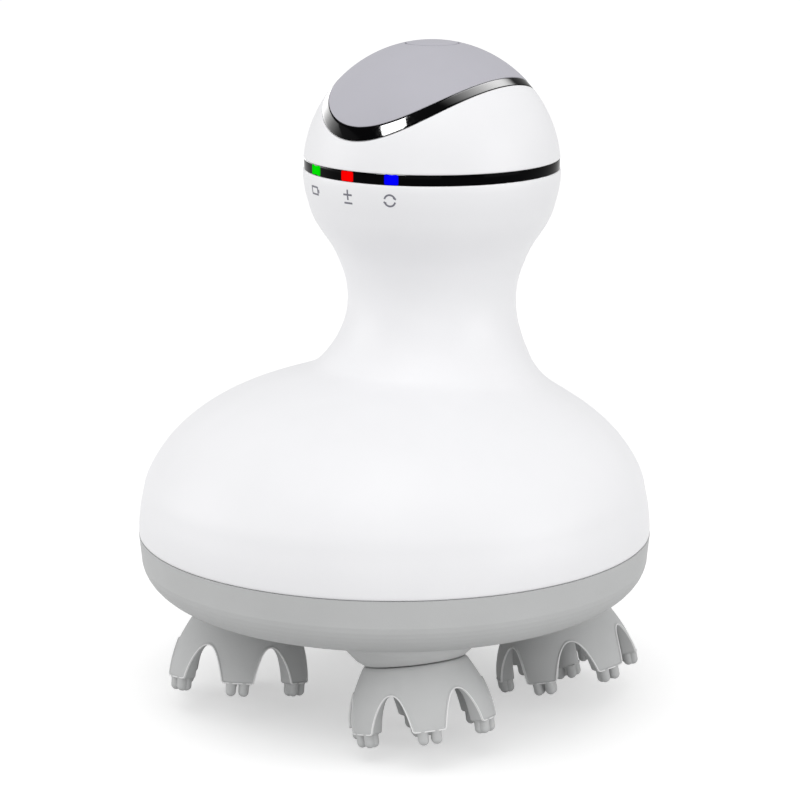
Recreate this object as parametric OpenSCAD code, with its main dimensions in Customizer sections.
// Cordless scalp massager: a round body with a set-back neck and head, on four
// kneading claws that lean and turn. Millimetres. +Z is up, the front faces -Y,
// and z = 0 is the surface that the lowest claw tips stand on.
// Azimuths are counted from the front (-Y) towards +X.

/* [Body] */
// Radius of the dome where it meets the base
dome_r = 53.1; // [51:0.1:56]
// Height of the dome's curve above the parting line
dome_h = 33.9; // [32:0.1:36]
// How square the dome's shoulder is (2 is an ellipse)
dome_power = 2.3; // [2.1:0.05:2.7]
// Wall thickness of the shells
wall = 2.2; // [1.6:0.1:2.6]
// Radius of the neck at its waist
waist_r = 17.3; // [16.8:0.1:19]
// Height of the waist above the parting line
waist_z = 47; // [46:0.5:49]
// Radius of the neck's inward curve in profile
waist_curve_r = 17.8; // [16:0.2:20]
// How far the head stands behind the body's axis
head_setback = 11.9; // [8:0.1:13]

/* [Head] */
// Radius of the head
head_r = 26.6; // [26:0.1:28]
// Height of the head's centre above the parting line
head_z = 73.8; // [73:0.1:76]
// Half height of the head below its centre
head_drop = 23.2; // [22:0.1:26]
// Height of the light band
band_h = 2.2; // [1.6:0.1:3]
// Width of a light window
window_w = 3.2; // [2:0.1:4.5]
// Angle between neighbouring light windows
window_angle = 22.5; // [15:0.5:30]
// Radius of the side-to-side arch that cuts the cap's edge
arch_r = 40.6; // [40:0.1:42]
// Drop from the head's top to the arch's highest line
arch_drop = 6.65; // [6:0.05:7.5]
// Width of the trim under the cap, in side view
trim_w = 1.35; // [0.8:0.05:2]
// Radius of the power button
button_r = 5.3; // [4:0.1:6]
// Travel of the power button
button_travel = 0.6; // [0.3:0.1:1]

/* [Base] */
// Height of the grey base under the parting line
base_h = 13.2; // [12.6:0.1:14.4]
// Radius of the flat underside
base_flat_r = 41; // [38:0.5:43]
// Height of the base's almost upright rim
rim_h = 4.5; // [3:0.1:5]
// Thickness of the base's floor
floor_t = 2.4; // [1.8:0.1:2.6]

/* [Claws] */
// Teeth of the central drive gear (a multiple of 8)
drive_teeth = 40; // [40:8:40]
// Teeth of each output gear
output_teeth = 22; // [22:1:22]
// Gear module
gear_module = 1; // [0.98:0.01:1.02]
// Lean of a claw against its shaft
claw_tilt = 13.5; // [8:0.5:14]
// Depth of the leaning pivot under the parting line
pivot_drop = 4; // [3.8:0.1:4.6]
// Outer radius of a claw at its foot
claw_r = 15; // [13:0.05:15.4]
// Radius of a claw's rim
claw_rim_r = 10.25; // [9.6:0.05:11]
// Depth of the rim below the pivot, along the claw
rim_depth = 14.5; // [14.3:0.1:15.2]
// Depth of the arches' tops below the pivot
arch_depth = 19.45; // [19:0.05:21]
// Depth of the feet below the pivot
foot_depth = 26.7; // [25.5:0.1:27.6]
// Half width of a leg at its foot
leg_half_w = 3.04; // [2.6:0.01:3.4]
// Inner radius of the legs
leg_inner_r = 11.7; // [10.5:0.1:12.2]
// Radius of the middle post
post_r = 2.65; // [2.2:0.05:3.2]
// Radius of a massage bump
bump_r = 1.05; // [0.8:0.05:1.2]
// How far a bump stands out of its foot
bump_h = 2.8; // [2:0.1:3.5]
// Spacing of the bumps across a leg
bump_pitch = 2.7; // [2.3:0.05:3.2]
// Radius of the circle of feet
foot_circle_r = 13; // [12:0.05:13.2]

/* [Drive] */
// Radius of the drive and output shafts
shaft_r = 2.5; // [2:0.1:3]
// Thickness of the gears
gear_t = 4; // [3:0.1:4]
// Radius of the motor can
motor_r = 12.2; // [10:0.1:13]
// Height of the motor can
motor_h = 12.4; // [10:0.1:13]
// Height of the gearbox
gearbox_h = 11.8; // [9:0.1:12]

/* [Battery and board] */
// Radius of the battery cell
cell_r = 9.15; // [8:0.05:9.3]
// Length of the battery cell
cell_h = 35; // [30:0.5:35]
// Thickness of the circuit board
board_t = 1.6; // [1:0.1:2]
// Radius of the charging socket's bore
jack_bore_r = 1.3; // [0.8:0.05:1.6]
// Depth of the charging socket's bore
jack_bore_l = 9; // [7:0.1:10]

/* [Clearances] */
// Radial running clearance of a shaft in its bush
run_gap = 0.05; // [0.02:0.01:0.08]
// Gap beside pieces that move past each other
move_gap = 0.4; // [0.3:0.05:0.5]
// Gap round the button
button_gap = 0.3; // [0.2:0.05:0.4]
// Gap beside pieces that are only dropped in
fit_gap = 0.1; // [0.05:0.01:0.2]

/* [Hidden] */
$fn = 96;

// Colours, as the object shows them
white = [0.95, 0.95, 0.96];
base_grey = [0.72, 0.73, 0.74];
claw_grey = [0.68, 0.69, 0.70];
cap_grey = [0.74, 0.74, 0.77];
black = [0.04, 0.04, 0.05];
steel = [0.72, 0.73, 0.75];
brass = [0.78, 0.63, 0.32];
acetal = [0.93, 0.92, 0.86];
board_green = [0.10, 0.38, 0.22];

// Claws: azimuth of the shaft, azimuth of the raised side, azimuth of one leg
claw_azimuth = [-45, 45, 135, -135];
claw_raised = [26.3, 70.6, 100, 145];
claw_leg = [42.4, 45, 17.2, 4];
legs = 6;

// Everything below is placed from the parting line, which lies this high
shaft_circle_r = gear_module * (drive_teeth + output_teeth) / 2;
foot_tip = foot_depth + bump_h;
function bump_drop(i) = max([for (k = [0:legs - 1], s = [-1, 1])
    let (a = claw_leg[i] + 360 / legs * k - claw_raised[i])
    -((foot_circle_r + bump_row / 2) * cos(a) - s * bump_pitch / 2 * sin(a))]);
bump_row = 1.95;
parting_z = pivot_drop + (foot_tip - bump_r) * cos(claw_tilt) + bump_r
    + max([for (i = [0:3]) bump_drop(i)]) * sin(claw_tilt);

// Heights above (or below) the parting line, from the bottom up
base_bottom = -base_h;
floor_top = base_bottom + floor_t;
hub_top = floor_top + 1.6;
well_roof_z = hub_top + move_gap;
roof_t = 2;
roof_top = well_roof_z + roof_t;
bush_top = roof_top + 2.8;
gear_z = bush_top + move_gap;
plate_z = gear_z + gear_t + 0.6;
plate_t = 2.2;
plate_top = plate_z + plate_t;
gearbox_flange_t = 2;
motor_z = plate_top + gearbox_flange_t + gearbox_h;
band_z = head_z + 0.5;
lip_top = band_z + band_h + 1;
board_z = lip_top;
shelf_top = head_z - 10.8;
cover_z = shelf_top + 6.5;
cell_z = cover_z - cell_h;
arch_z = head_z + head_r - arch_drop - arch_r;

// Radii
rim_r = dome_r + 0.05;
rim_low_r = dome_r - 0.4;
hub_r = claw_r - 0.45;
well_r = hub_r + move_gap;
well_wall = 1.8;
bush_r = shaft_r + 2;
seal_r = shaft_r + 2.5;
bush_boss_r = bush_r + 2;
seat_depth = rim_depth - 0.3;
spigot_r = 8;
spigot_l = 2.2;
band_r = head_r - 0.25;
inner_head_r = head_r - wall;
lip_r = sqrt(pow(inner_head_r, 2) - pow(lip_top - head_z, 2)) - fit_gap / 2;
lip_inner_r = lip_r - 1.8;
arch_y = 1.1;
carrier_r = cell_r + fit_gap * 3 + 1;

// Screws
post_azimuths = [0, 90, 180, 270];
base_screw_r = dome_r - 9.6;
boss_r = 3.6;
chassis_screw_r = 30;
board_screw_r = lip_inner_r - 2;
board_screw_azimuths = [-125, -60, 60, 125];
gearbox_screw_azimuths = [45, 135, 225, 315];
gearbox_r = motor_r - 0.2;
gearbox_screw_r = gearbox_r + 1.9;
pilot_gap = 0.05;

// ---------------------------------------------------------------- placing
module at_azimuth(a, r) { rotate([0, 0, a]) translate([0, -r, 0]) children(); }
module above_parting() { translate([0, 0, parting_z]) children(); }
module on_head_axis() { above_parting() translate([0, head_setback, 0]) children(); }
module at_output(i) { above_parting() at_azimuth(claw_azimuth[i], shaft_circle_r) children(); }

// The claw's own frame: origin at the pivot, axis leaning away from the raised side
module leaning(i) {
    a = claw_raised[i] - claw_azimuth[i];
    translate([0, 0, -pivot_drop])
        rotate([0, 0, a]) rotate([-claw_tilt, 0, 0]) rotate([0, 0, -a])
            children();
}

module ring(r_in, r_out, z0, z1) {
    rotate_extrude() translate([r_in, z0]) square([r_out - r_in, z1 - z0]);
}

// A straight wire between each two points, with a round joint at each bend
module wire(points, r) {
    for (i = [0:len(points) - 2]) {
        d = points[i + 1] - points[i];
        translate(points[i]) rotate([0, atan2(norm([d[0], d[1]]), d[2]), atan2(d[1], d[0])])
            cylinder(r = r, h = norm(d), $fn = 20);
        if (i > 0) translate(points[i]) sphere(r * bend_swell, $fn = 20);
    }
}

module pan_head_screw(head_r, head_h, shank_r, shank_l) {
    difference() {
        cylinder(r = head_r, h = head_h, $fn = 40);
        for (a = [0, 90]) rotate([0, 0, a])
            translate([-head_r * 0.55, -0.25, head_h * 0.5]) cube([head_r * 1.1, 0.5, head_h]);
    }
    translate([0, 0, -shank_l]) cylinder(r = shank_r, h = shank_l, $fn = 24);
}

// ---------------------------------------------------------------- body shape
// The outside is given by its distance from a spine that starts on the body's
// axis and bends back to the head's axis. At each height, that distance is the
// larger of the dome's and the neck's, with a soft fillet between them.
function smooth(t) = let (c = min(1, max(0, t))) c * c * (3 - 2 * c);
function soft_max(a, b, k) = (a + b) / 2 + sqrt(pow(a - b, 2) / 4 + k * k);
bend_start = 16;
bend_length = 13.4;
function setback(z) = z <= bend_start ? 0
    : head_setback * (1 - exp(-pow((z - bend_start) / bend_length, 1.92)));
function dome(z) = z >= dome_h ? 0
    : dome_r * pow(1 - pow(max(0, z) / dome_h, dome_power), 1 / dome_power);
function dome_z(r) = dome_h * pow(1 - pow(r / dome_r, dome_power), 1 / dome_power);
function dome_from_spine(z, a) = let (c = setback(z), b = c * cos(a), q = b * b - c * c + pow(dome(z), 2))
    q > 0 ? max(0, b + sqrt(q)) : 0;
function neck(z) = waist_r + pow(z - waist_z, 2) / (2 * waist_curve_r);
function head_side(z) = head_r * sqrt(max(0, 1 - pow((z - head_z) / head_drop, 2)));
fillet_front = 1.1;
fillet_back = 2.7;
function fillet(a) = fillet_front + (fillet_back - fillet_front) * (1 - cos(a)) / 2;
neck_share = [8, 24];
head_share = [waist_z + 7.4, waist_z + 21];
function share(z, s) = smooth((z - s[0]) / (s[1] - s[0]));
function shoulder(z, a) = let (d = dome_from_spine(z, a))
    d + (soft_max(d, neck(z), fillet(a)) - d) * share(z, neck_share);
function body_r(z, a) = let (t = share(z, head_share)) shoulder(z, a) * (1 - t) + head_side(z) * t;

flange_gap = 0.6;
flange_r = min(body_r(shelf_top, 0) - wall - flange_gap, lip_inner_r - flange_gap);

// A level ring of the outside, and the same ring moved in along its normal
function point_at(z, a, r) = [r * sin(a), setback(z) - r * cos(a), z];
function slope(z, a) = (body_r(z + 0.05, a) - body_r(z - 0.05, a)
    - (setback(z + 0.05) - setback(z - 0.05)) * cos(a)) / 0.1;
function inner_at(z, a, end) = let (s = slope(z, a), m = wall / sqrt(1 + s * s),
                                    p = point_at(z, a, body_r(z, a) - m))
    end ? p : [p[0], p[1], z + s * m];
body_sides = 72;
turns = [for (k = [0:body_sides - 1]) 360 * k / body_sides];
crease_z = dome_h - 7.9;
body_levels = concat([0], [for (k = [1:7]) crease_z * k / 7.5], [for (k = [0:10]) crease_z + 1.1 * k],
                     [for (z = [crease_z + 13:3:band_z - 2]) z], [band_z]);
last_level = len(body_levels) - 1;
function shell_rings() = concat(
    [for (z = body_levels) [for (a = turns) point_at(z, a, body_r(z, a))]],
    [for (k = [last_level:-1:0]) [for (a = turns) inner_at(body_levels[k], a, k == 0 || k == last_level)]]);

// Closes a stack of equal rings into one skin: each ring to the next, the last to the first
module ring_skin(rings) {
    n = len(rings[0]);
    m = len(rings);
    polyhedron(points = [for (r = rings) each r],
        faces = [for (j = [0:m - 1], k = [0:n - 1])
            let (a = j * n + k, b = j * n + (k + 1) % n,
                 c = ((j + 1) % m) * n + (k + 1) % n, d = ((j + 1) % m) * n + k)
            each [[a, d, c], [a, c, b]]]);
}

// ---------------------------------------------------------------- shells
port_z = shelf_top + 7;
grommet_r = 3.9;
post_top = dome_z(base_screw_r + boss_r) - wall * 0.8;
rib_l = dome_r - base_screw_r - wall * 1.4;
board_boss_r = 2.6;
module main_shell() {
    color(white) difference() {
        union() {
            above_parting() ring_skin(shell_rings());
            on_head_axis() {
                ring(lip_inner_r, lip_r, band_z - 2.3, lip_top);
                ring(lip_inner_r, head_r - 1.4, band_z - 2.3, band_z);
                rotate_extrude() polygon([[flange_r - 3, shelf_top - 2], [flange_r + 0.5, shelf_top - 2],
                                          [flange_r + 1.7, shelf_top], [flange_r - 3, shelf_top]]);
                for (a = board_screw_azimuths) at_azimuth(a, board_screw_r)
                    translate([0, 0, lip_top - 6.5]) cylinder(r = board_boss_r, h = 6.5, $fn = 40);
            }
            above_parting() for (a = post_azimuths) at_azimuth(a, base_screw_r) {
                translate([0, 0, plate_top]) cylinder(r = boss_r, h = post_top - plate_top, $fn = 48);
                translate([-0.8, -rib_l, plate_top + 1]) cube([1.6, rib_l - 2, 8]);
            }
        }
        above_parting() for (a = post_azimuths) at_azimuth(a, base_screw_r)
            translate([0, 0, plate_top - 1]) cylinder(r = 1.3 + pilot_gap, h = 11, $fn = 32);
        on_head_axis() {
            for (a = board_screw_azimuths) at_azimuth(a, board_screw_r)
                translate([0, 0, lip_top - 5.5]) cylinder(r = 0.95 + pilot_gap, h = 6, $fn = 24);
            for (a = [-1:1]) rotate([0, 0, a * window_angle])
                translate([-window_w / 2 - fit_gap, -lip_r - 1, band_z])
                    cube([window_w + 2 * fit_gap, lip_r - lip_inner_r + 2, band_h]);
            translate([0, lip_inner_r - 4, port_z]) rotate([-90, 0, 0])
                cylinder(r = grommet_r, h = 14, $fn = 48);
        }
    }
}

module head_ball(r) { on_head_axis() translate([0, 0, head_z]) sphere(r); }
module head_arch(r) {
    on_head_axis() translate([0, arch_y, arch_z]) rotate([0, 90, 0])
        cylinder(r = r, h = 4 * head_r, center = true, $fn = 160);
}
module above_band(z) {
    on_head_axis() translate([-2 * head_r, -2 * head_r, z]) cube([4 * head_r, 4 * head_r, 3 * head_r]);
}
ledge_w = 2.6;
ledge_t = 1.5;
collar_r = button_r + 1.95;
collar_t = 1.2;
module head_shell() {
    color(white) {
        intersection() {
            difference() { head_ball(head_r); head_ball(inner_head_r); }
            above_band(band_z + band_h);
            head_arch(arch_r - trim_w);
        }
        difference() {
            intersection() {
                head_ball(inner_head_r);
                above_band(band_z + band_h + 4);
                head_arch(arch_r + ledge_w);
            }
            head_ball(inner_head_r - ledge_t);
            head_arch(arch_r - trim_w - ledge_w);
            on_head_axis() translate([0, 0, head_z]) cylinder(r = collar_r + collar_t + fit_gap, h = head_r);
        }
    }
}
module cap_trim() {
    color(black) difference() {
        intersection() { head_ball(head_r - 0.1); head_arch(arch_r); }
        head_ball(inner_head_r);
        head_arch(arch_r - trim_w);
    }
}
module cap() {
    color(cap_grey) difference() {
        union() {
            difference() {
                head_ball(head_r);
                head_ball(inner_head_r);
                head_arch(arch_r + fit_gap / 2);
            }
            on_head_axis() ring(collar_r, collar_r + collar_t, head_z + head_r - 6.6, head_z + head_r - 2.9);
        }
        on_head_axis() translate([0, 0, head_z]) cylinder(r = button_r + button_gap, h = 2 * head_r);
        on_head_axis() translate([0, 0, head_z]) cylinder(r = collar_r, h = head_r - 4);
    }
}

module light_band() {
    color(black) on_head_axis() difference() {
        ring(lip_r + fit_gap, band_r, band_z, band_z + band_h);
        for (a = [-1:1]) rotate([0, 0, a * window_angle])
            translate([-window_w / 2, -2 * head_r, band_z - 1]) cube([window_w, 2 * head_r, band_h + 2]);
    }
}
module light_window(place) {
    on_head_axis() intersection() {
        ring(lip_inner_r, band_r, band_z, band_z + band_h);
        rotate([0, 0, place * window_angle])
            translate([-window_w / 2, -2 * head_r, band_z]) cube([window_w, 2 * head_r, band_h]);
    }
}
module window_battery() { color([0.1, 0.9, 0.2]) light_window(-1); }
module window_level() { color([0.95, 0.1, 0.1]) light_window(0); }
module window_mode() { color([0.1, 0.15, 0.95]) light_window(1); }

// ---------------------------------------------------------------- button and board
switch_h = 3.5;
plunger_top = board_z + board_t + 7.4;
flange_top = head_z + head_r - 3.5;
module power_button() {
    color(cap_grey) {
        intersection() {
            head_ball(head_r);
            on_head_axis() translate([0, 0, flange_top]) cylinder(r = button_r, h = 10);
        }
        on_head_axis() {
            translate([0, 0, flange_top - 1.2]) cylinder(r = collar_r - button_gap, h = 1.2);
            translate([0, 0, plunger_top]) cylinder(r = 2.2, h = flange_top - 1.2 - plunger_top, $fn = 48);
        }
    }
}
module tact_plunger() {
    color(black) on_head_axis() translate([0, 0, plunger_top - 5]) cylinder(r = 1.7, h = 5, $fn = 40);
}
module tact_switch() {
    color(steel) on_head_axis() difference() {
        translate([-3, -3, board_z + board_t]) cube([6, 6, switch_h]);
        translate([0, 0, plunger_top - 5 - button_travel - 0.2]) cylinder(r = 1.7 + 0.3, h = 8, $fn = 40);
    }
}
board_r = inner_head_r - 1.1;
module control_board() {
    color(board_green) on_head_axis() difference() {
        translate([0, 0, board_z]) cylinder(r = board_r, h = board_t);
        for (a = board_screw_azimuths) at_azimuth(a, board_screw_r)
            translate([0, 0, board_z - 1]) cylinder(r = 1.15, h = board_t + 2, $fn = 32);
    }
}
module board_chips() {
    color(black) on_head_axis() {
        translate([-9, -13, board_z + board_t]) cube([7, 7, 1.2]);
        translate([4, -12, board_z + board_t]) cube([5, 4, 1]);
        translate([7, 5, board_z + board_t]) cube([6, 6, 4.5]);
        translate([-12, 6, board_z + board_t]) cylinder(r = 2.5, h = 5.5, $fn = 40);
    }
}
module status_leds() {
    color([0.98, 0.97, 0.9]) on_head_axis() for (a = [-1:1]) rotate([0, 0, a * window_angle])
        translate([-1.4, -lip_inner_r + fit_gap, board_z - 2.2]) cube([2.8, 1.6, 2.2]);
}
module board_screws() {
    color(steel) on_head_axis() for (a = board_screw_azimuths) at_azimuth(a, board_screw_r)
        translate([0, 0, board_z + board_t]) pan_head_screw(1.9, 1.4, 0.95, 5.8);
}

// ---------------------------------------------------------------- battery and charging
carrier_floor = 1.2;
module battery_cell() {
    color([0.25, 0.45, 0.75]) on_head_axis() {
        translate([0, 0, cell_z]) cylinder(r = cell_r, h = cell_h - 1);
        translate([0, 0, cell_z + cell_h - 1]) cylinder(r = 3, h = 1, $fn = 48);
    }
}
module battery_carrier() {
    color(white) on_head_axis() difference() {
        union() {
            ring(carrier_r - 1, carrier_r, cell_z - carrier_floor, cover_z);
            translate([0, 0, cell_z - carrier_floor]) cylinder(r = carrier_r, h = carrier_floor);
            ring(carrier_r - 0.5, flange_r, shelf_top, shelf_top + 1.6);
        }
        translate([-3.2, -lead_r - 2, shelf_top - 1]) cube([6.4, 4, 4]);
        for (a = board_screw_azimuths) at_azimuth(a, board_screw_r)
            translate([0, 0, shelf_top - 1]) cylinder(r = board_boss_r + move_gap, h = 4, $fn = 40);
    }
}
module battery_cover() {
    color(white) on_head_axis() difference() {
        translate([0, 0, cover_z]) cylinder(r = carrier_r, h = 1.4);
        for (x = [-3, 3]) translate([x, 0, cover_z - 1]) cylinder(r = 0.6, h = 4, $fn = 24);
    }
}
jack_r = 3.4;
jack_face = head_r - 2.3;
jack_back = jack_face - jack_bore_l - 2.6;
lug_top = port_z + jack_r + 0.6;
lug_x = 1.6;
module charge_socket() {
    color(steel) on_head_axis() {
        translate([0, 0, port_z]) rotate([-90, 0, 0]) difference() {
            translate([0, 0, jack_back]) cylinder(r = jack_r, h = jack_face - jack_back, $fn = 48);
            translate([0, 0, jack_face - jack_bore_l])
                cylinder(r = jack_bore_r, h = jack_bore_l + 1, $fn = 40);
        }
        for (x = [-lug_x, lug_x]) translate([x - 0.7, jack_back + 0.8, port_z + 1])
            cube([1.4, 1.4, lug_top - port_z - 1]);
    }
}
module port_grommet() {
    color(claw_grey) intersection() {
        on_head_axis() translate([0, 0, port_z]) rotate([-90, 0, 0]) difference() {
            translate([0, 0, jack_face - 2]) cylinder(r = grommet_r, h = 6, $fn = 48);
            translate([0, 0, jack_face - 3]) cylinder(r = jack_r, h = 3, $fn = 48);
            translate([0, 0, jack_face - 3]) cylinder(r = 2.4, h = 10, $fn = 48);
        }
        head_ball(head_r + 0.2);
    }
}
lead_r = 12.9;
bend_swell = 1.15;
module motor_leads() {
    color([0.75, 0.1, 0.1]) above_parting() for (x = [-1, 1])
        wire([[3.5 * x, -6, motor_z + motor_h + 0.8], [3.5 * x, -6, motor_z + motor_h + 2.4],
              [1.4 * x, head_setback - lead_r, cell_z + 3], [1.4 * x, head_setback - lead_r, board_z]], 0.6);
}
module battery_leads() {
    color(black) on_head_axis() for (x = [-3, 3])
        translate([x, 0, cover_z]) cylinder(r = 0.6, h = board_z - cover_z, $fn = 24);
}
module charge_leads() {
    color(black) on_head_axis() for (x = [-lug_x, lug_x])
        translate([x, jack_back + 1.5, lug_top]) cylinder(r = 0.6, h = board_z - lug_top, $fn = 24);
}

// ---------------------------------------------------------------- base
function quarter(cx, cz, a, b, n) =
    [for (k = [0:n]) [cx + a * cos(90 * k / n), cz - b * sin(90 * k / n)]];
corner_steps = 12;
seal_groove = [rim_r - 1.95, rim_r - 0.95, 1.2];
module pan_outside() {
    rotate_extrude() polygon(concat([[0, 0], [rim_r, 0]],
        quarter(base_flat_r, -rim_h, rim_low_r - base_flat_r, base_h - rim_h, corner_steps),
        [[0, -base_h]]));
}
module pan_inside() {
    rotate_extrude() polygon(concat([[0, 1], [rim_r - wall - 0.35, 1]],
        quarter(base_flat_r, -rim_h, rim_low_r - base_flat_r - wall, base_h - rim_h - floor_t, corner_steps),
        [[0, floor_top]]));
}
module base_pan() {
    color(base_grey) above_parting() difference() {
        union() {
            difference() { pan_outside(); pan_inside(); }
            intersection() {
                pan_outside();
                for (a = claw_azimuth) at_azimuth(a, shaft_circle_r) translate([0, 0, base_bottom - 1])
                    cylinder(r = well_r + well_wall, h = roof_top - base_bottom + 1);
            }
            for (a = claw_azimuth) at_azimuth(a, shaft_circle_r)
                translate([0, 0, roof_top - 1]) cylinder(r = bush_boss_r, h = bush_top - roof_top + 1);
            translate([0, 0, floor_top - 1]) cylinder(r = bush_boss_r, h = bush_top - floor_top + 1);
            for (a = post_azimuths) {
                at_azimuth(a, base_screw_r) translate([0, 0, floor_top - 1])
                    cylinder(r = boss_r, h = plate_z - floor_top + 1, $fn = 48);
                at_azimuth(a, chassis_screw_r) translate([0, 0, floor_top - 1])
                    cylinder(r = 3.2, h = plate_z - floor_top + 1, $fn = 48);
            }
        }
        for (a = claw_azimuth) at_azimuth(a, shaft_circle_r) {
            translate([0, 0, base_bottom - 2]) cylinder(r = well_r, h = well_roof_z - base_bottom + 2);
            translate([0, 0, well_roof_z - 1]) cylinder(r = seal_r, h = 1 + roof_t - 0.2);
            translate([0, 0, roof_top - 0.2]) cylinder(r = bush_r, h = 5);
        }
        translate([0, 0, floor_top + 1]) cylinder(r = bush_r, h = 10);
        for (a = post_azimuths) {
            at_azimuth(a, base_screw_r) {
                translate([0, 0, base_bottom - 1]) cylinder(r = 3, h = 4.2, $fn = 48);
                translate([0, 0, base_bottom - 1]) cylinder(r = 1.5, h = 20, $fn = 32);
            }
            at_azimuth(a, chassis_screw_r) translate([0, 0, floor_top + 3])
                cylinder(r = 1.2 + pilot_gap, h = 20, $fn = 24);
        }
        ring(seal_groove[0], seal_groove[1], -seal_groove[2], 1);
    }
}
module base_seal() {
    color([0.35, 0.36, 0.37]) above_parting() ring(seal_groove[0], seal_groove[1], -seal_groove[2], 0);
}
module base_screws() {
    color(steel) above_parting() for (a = post_azimuths) at_azimuth(a, base_screw_r)
        translate([0, 0, base_bottom + 3.2]) rotate([180, 0, 0]) pan_head_screw(2.7, 1.8, 1.3, 21);
}

// ---------------------------------------------------------------- gear train
plate_r = rim_r - wall - 3;
module chassis_plate() {
    color(acetal) above_parting() difference() {
        union() {
            translate([0, 0, plate_z]) cylinder(r = plate_r, h = plate_t);
            for (a = claw_azimuth) at_azimuth(a, shaft_circle_r)
                translate([0, 0, plate_z]) cylinder(r = bush_boss_r, h = plate_t + 1.6);
        }
        for (a = claw_azimuth) at_azimuth(a, shaft_circle_r)
            translate([0, 0, plate_z - 1]) cylinder(r = bush_r, h = 10);
        translate([0, 0, plate_z - 1]) cylinder(r = shaft_r + 1, h = 10);
        for (a = post_azimuths) {
            at_azimuth(a, base_screw_r) translate([0, 0, plate_z - 1]) cylinder(r = 1.5, h = 10, $fn = 32);
            at_azimuth(a, chassis_screw_r) translate([0, 0, plate_z - 1])
                cylinder(r = 1.35, h = 10, $fn = 32);
        }
        for (a = gearbox_screw_azimuths) at_azimuth(a, gearbox_screw_r)
            translate([0, 0, plate_z - 1]) cylinder(r = 0.9 + pilot_gap, h = 10, $fn = 24);
    }
}
module chassis_screws() {
    color(steel) above_parting() for (a = post_azimuths) at_azimuth(a, chassis_screw_r)
        translate([0, 0, plate_top]) pan_head_screw(2.4, 1.6, 1.2, plate_top - floor_top - 3.5);
}
module gearbox() {
    color(steel) above_parting() difference() {
        union() {
            translate([0, 0, plate_top]) cylinder(r = gearbox_screw_r + 2, h = gearbox_flange_t);
            translate([0, 0, plate_top]) cylinder(r = gearbox_r, h = gearbox_flange_t + gearbox_h);
        }
        translate([0, 0, plate_top - 1]) cylinder(r = shaft_r + run_gap, h = 5);
        for (a = gearbox_screw_azimuths) at_azimuth(a, gearbox_screw_r)
            translate([0, 0, plate_top - 1]) cylinder(r = 1.1, h = 5, $fn = 24);
    }
}
module gearbox_screws() {
    color(steel) above_parting() for (a = gearbox_screw_azimuths) at_azimuth(a, gearbox_screw_r)
        translate([0, 0, plate_top + gearbox_flange_t])
            pan_head_screw(1.7, 1.3, 0.9, gearbox_flange_t + plate_t - 0.3);
}
module drive_motor() {
    color([0.6, 0.62, 0.65]) above_parting() {
        translate([0, 0, motor_z]) cylinder(r = motor_r, h = motor_h);
        translate([0, 0, motor_z + motor_h]) cylinder(r = 3, h = 1, $fn = 48);
        for (x = [-1, 1]) translate([3.5 * x - 0.8, -7, motor_z + motor_h]) cube([1.6, 2, 0.8]);
    }
}

// Angle between a tooth's centre line and its flank, at radius r
pressure_angle = 20;
tooth_thinning = 0.14;
function unwind(r, base) = r <= base ? 0
    : sqrt(pow(r / base, 2) - 1) * 180 / PI - acos(base / r);
function flank(r, teeth) = let (pitch = gear_module * teeth / 2, base = pitch * cos(pressure_angle))
    90 / teeth - tooth_thinning / pitch * 90 / PI + unwind(pitch, base) - unwind(r, base);
function tooth_radii(teeth) = let (pitch = gear_module * teeth / 2, base = pitch * cos(pressure_angle),
                                   low = max(base, pitch - 1.2 * gear_module))
    concat([pitch - 1.25 * gear_module], [for (k = [0:5]) low + (pitch + gear_module - low) * k / 5]);
module gear(teeth, t) {
    radii = tooth_radii(teeth);
    n = len(radii);
    linear_extrude(t) polygon([for (k = [0:teeth - 1], j = [0:2 * n - 1])
        let (r = radii[j < n ? j : 2 * n - 1 - j],
             a = 360 / teeth * k + (j < n ? -1 : 1) * flank(r, teeth))
        [r * cos(a), r * sin(a)]]);
}
drive_pitch_r = gear_module * drive_teeth / 2;
output_pitch_r = gear_module * output_teeth / 2;
module drive_gear() {
    color(acetal) above_parting() translate([0, 0, gear_z]) difference() {
        gear(drive_teeth, gear_t);
        translate([0, 0, -1]) cylinder(r = shaft_r, h = gear_t + 2);
        for (a = [0:60:300]) rotate([0, 0, a]) translate([drive_pitch_r * 0.6, 0, -1])
            cylinder(r = drive_pitch_r * 0.2, h = gear_t + 2, $fn = 48);
    }
}
module drive_shaft() {
    color(steel) above_parting() translate([0, 0, floor_top + 1.2])
        cylinder(r = shaft_r, h = plate_top + 3.6 - floor_top - 1.2);
}
module output_gear(i) {
    color(acetal) at_output(i) translate([0, 0, gear_z]) difference() {
        rotate([0, 0, 90 + 180 / output_teeth]) gear(output_teeth, gear_t);
        translate([0, 0, -1]) cylinder(r = shaft_r, h = gear_t + 2);
        for (a = [0:72:288]) rotate([0, 0, a]) translate([output_pitch_r * 0.6, 0, -1])
            cylinder(r = output_pitch_r * 0.17, h = gear_t + 2, $fn = 40);
    }
}
shaft_foot = hub_top - 7.3;
module output_shaft(i) {
    color(steel) at_output(i) difference() {
        translate([0, 0, shaft_foot]) cylinder(r = shaft_r, h = plate_top + 1.2 - shaft_foot);
        translate([0, 0, shaft_foot - 1]) cylinder(r = 1.2 + pilot_gap, h = 8.5, $fn = 32);
    }
}
module lower_bushes() {
    color(brass) {
        for (i = [0:3]) at_output(i) ring(shaft_r + run_gap, bush_r, roof_top - 0.2, bush_top);
        above_parting() ring(shaft_r + run_gap, bush_r, floor_top + 1, bush_top);
    }
}
module upper_bushes() {
    color(brass) for (i = [0:3]) at_output(i) ring(shaft_r + run_gap, bush_r, plate_z, plate_top + 1.6);
}
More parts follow.
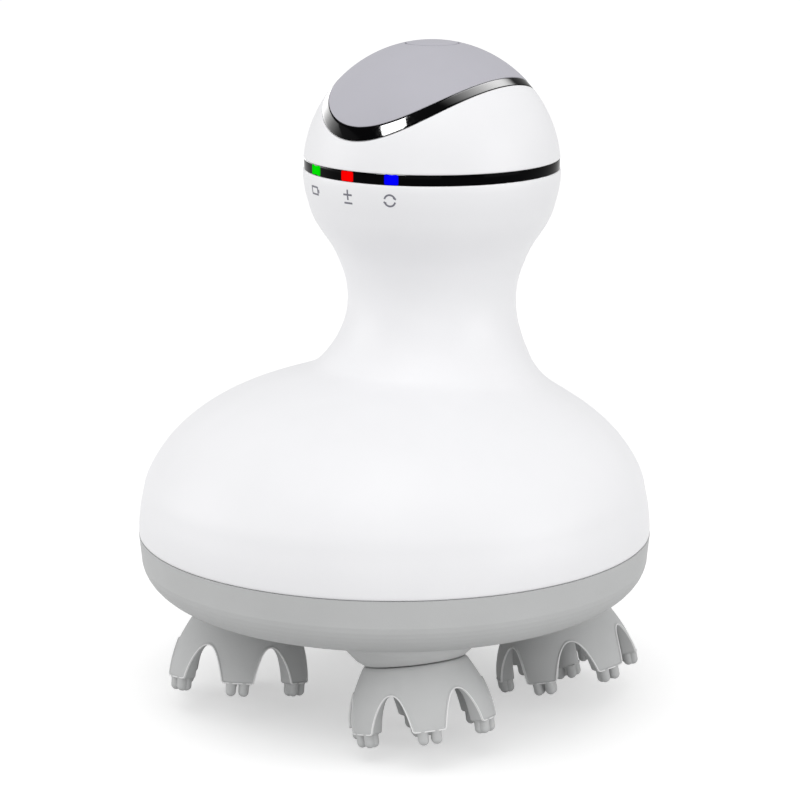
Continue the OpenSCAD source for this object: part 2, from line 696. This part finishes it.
module shaft_seals() {
    color([0.2, 0.2, 0.21]) for (i = [0:3]) at_output(i)
        ring(shaft_r + run_gap, seal_r, well_roof_z, roof_top - 0.2);
}

// ---------------------------------------------------------------- hubs and claws
screw_seat = shaft_foot - 1.5;
module hub(i) {
    color(base_grey) at_output(i) difference() {
        union() {
            translate([0, 0, base_bottom]) cylinder(r = hub_r, h = hub_top - base_bottom);
            hull() {
                translate([0, 0, base_bottom]) cylinder(r = hub_r, h = 0.2, $fn = 64);
                leaning(i) {
                    translate([0, 0, -seat_depth]) cylinder(r = claw_rim_r, h = 0.2, $fn = 64);
                    translate([0, 0, -seat_depth + 1]) cylinder(r = claw_rim_r + 1.4, h = 0.2, $fn = 64);
                }
            }
            leaning(i) translate([0, 0, -seat_depth - spigot_l]) cylinder(r = spigot_r, h = spigot_l + 0.1);
        }
        translate([0, 0, shaft_foot]) cylinder(r = shaft_r, h = 20);
        translate([0, 0, screw_seat - 1]) cylinder(r = 1.4, h = 4, $fn = 32);
        translate([0, 0, screw_seat - 8]) cylinder(r = 3, h = 8, $fn = 48);
    }
}
module hub_screw(i) {
    color(steel) at_output(i) translate([0, 0, screw_seat]) rotate([180, 0, 0])
        pan_head_screw(2.7, 1.6, 1.2, 7.8);
}

// The bell: a curve that is steep at the foot and leans in towards the rim
bell_power = 1.63;
function bell_r(s) = claw_r - (claw_r - claw_rim_r)
    * pow(1 - min(1, (s - rim_depth) / (foot_depth - rim_depth)), bell_power);
bell_steps = 9;
// A leg's edge as an angle round the claw's axis: narrow at the foot, and at the
// arches' tops as wide as the leg's whole share, where the edge turns level
arch_curve = 1.19;
arch_power = 0.44;
foot_angle = asin(leg_half_w / claw_r);
function leg_angle(h) = 180 / legs
    - (180 / legs - foot_angle) * pow(max(0, 1 - pow(h, arch_curve)), arch_power);
leg_steps = 9;
module leg_outline() {
    side = [for (k = [0:leg_steps])
        let (h = 1 - pow(1 - k / leg_steps, 2), s = foot_depth - h * (foot_depth - arch_depth))
        [bell_r(s) * sin(leg_angle(h)), -s]];
    polygon(concat(side, [for (k = [leg_steps:-1:0]) [-side[k][0], side[k][1]]]));
}
cavity_top = arch_depth + 0.5;
module claw(i) {
    color(claw_grey) at_output(i) leaning(i) rotate([0, 0, claw_leg[i] - claw_azimuth[i]]) {
        difference() {
            intersection() {
                rotate_extrude() polygon(concat(
                    [for (k = [0:bell_steps]) let (s = rim_depth + (foot_depth - rim_depth) * k / bell_steps)
                        [bell_r(s), -s]], [[0, -foot_depth], [0, -rim_depth]]));
                union() {
                    translate([0, 0, -arch_depth]) cylinder(r = 2 * claw_r, h = arch_depth);
                    for (k = [0:legs - 1]) rotate([0, 0, 360 / legs * k]) rotate([90, 0, 0])
                        linear_extrude(2 * claw_r) leg_outline();
                    translate([0, 0, -foot_depth]) cylinder(r = post_r, h = foot_depth, $fn = 64);
                }
            }
            rotate_extrude() polygon([[post_r, -foot_depth - 1], [leg_inner_r, -foot_depth - 1],
                [leg_inner_r - 0.4, -cavity_top - 2.2], [leg_inner_r - 2, -cavity_top - 0.5],
                [leg_inner_r - 3.4, -cavity_top], [post_r + 1, -cavity_top], [post_r, -cavity_top - 1]]);
            translate([0, 0, -seat_depth - spigot_l]) cylinder(r = spigot_r, h = 10);
        }
        for (k = [0:legs - 1]) rotate([0, 0, 360 / legs * k])
            translate([0, -foot_circle_r, 0]) bumps(bump_row);
        bumps(bump_pitch);
    }
}
module bumps(row) {
    for (x = [-1, 1], y = [-1, 1]) translate([x * bump_pitch / 2, y * row / 2, -foot_tip + bump_r]) {
        cylinder(r = bump_r, h = bump_h, $fn = 24);
        sphere(bump_r, $fn = 24);
    }
}

// ---------------------------------------------------------------- drawing
main_shell();
head_shell();
light_band();
window_battery();
window_level();
window_mode();
cap_trim();
cap();
power_button();
tact_plunger();
tact_switch();
control_board();
board_chips();
status_leds();
board_screws();
battery_cell();
battery_carrier();
battery_cover();
charge_socket();
port_grommet();
base_pan();
base_seal();
chassis_plate();
drive_motor();
gearbox();
gearbox_screws();
chassis_screws();
base_screws();
lower_bushes();
upper_bushes();
shaft_seals();
drive_shaft();
drive_gear();
motor_leads();
battery_leads();
charge_leads();
for (i = [0:3]) {
    output_gear(i);
    output_shaft(i);
    hub(i);
    hub_screw(i);
    claw(i);
}
